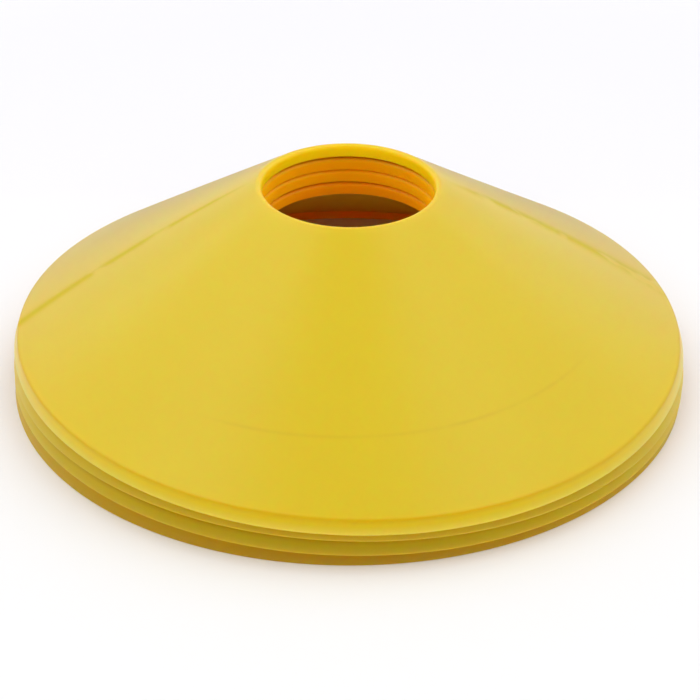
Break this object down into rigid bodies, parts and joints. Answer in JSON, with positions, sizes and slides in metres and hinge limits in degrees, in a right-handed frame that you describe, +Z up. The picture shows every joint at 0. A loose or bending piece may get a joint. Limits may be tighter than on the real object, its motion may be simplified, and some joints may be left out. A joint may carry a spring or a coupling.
{
  "type": "stack of disc marker cones",
  "caption": "Stack of loose nested disc marker cones in soft yellow plastic, each a flat cone with a round top hole, a turned-down collar and a short skirt; each lifts off the one below.",
  "frame": {"origin": "centre of the circle on which the bottom cone stands, on the floor", "axes": "+Z up along the common axis of the cones, through their holes; X and Y are free because the stack is round"},
  "size_m": [0.1998, 0.1998, 0.062],
  "materials": {
    "yellow_polyethylene": "satin, slightly translucent soft moulded plastic"
  },
  "bodies": {
    "bottom_cone": {"bottom_cone": "yellow_polyethylene"},
    "second_cone": {"second_cone": "yellow_polyethylene"},
    "third_cone": {"third_cone": "yellow_polyethylene"},
    "top_cone": {"top_cone": "yellow_polyethylene"}
  },
  "joints": [
    {"name": "second_cone_lift", "type": "slide", "parent": "bottom_cone", "child": "second_cone", "axis": [0, 0, 1], "range_m": [0, 0.06]},
    {"name": "third_cone_lift", "type": "slide", "parent": "second_cone", "child": "third_cone", "axis": [0, 0, 1], "range_m": [0, 0.06]},
    {"name": "top_cone_lift", "type": "slide", "parent": "third_cone", "child": "top_cone", "axis": [0, 0, 1], "range_m": [0, 0.06]}
  ]
}
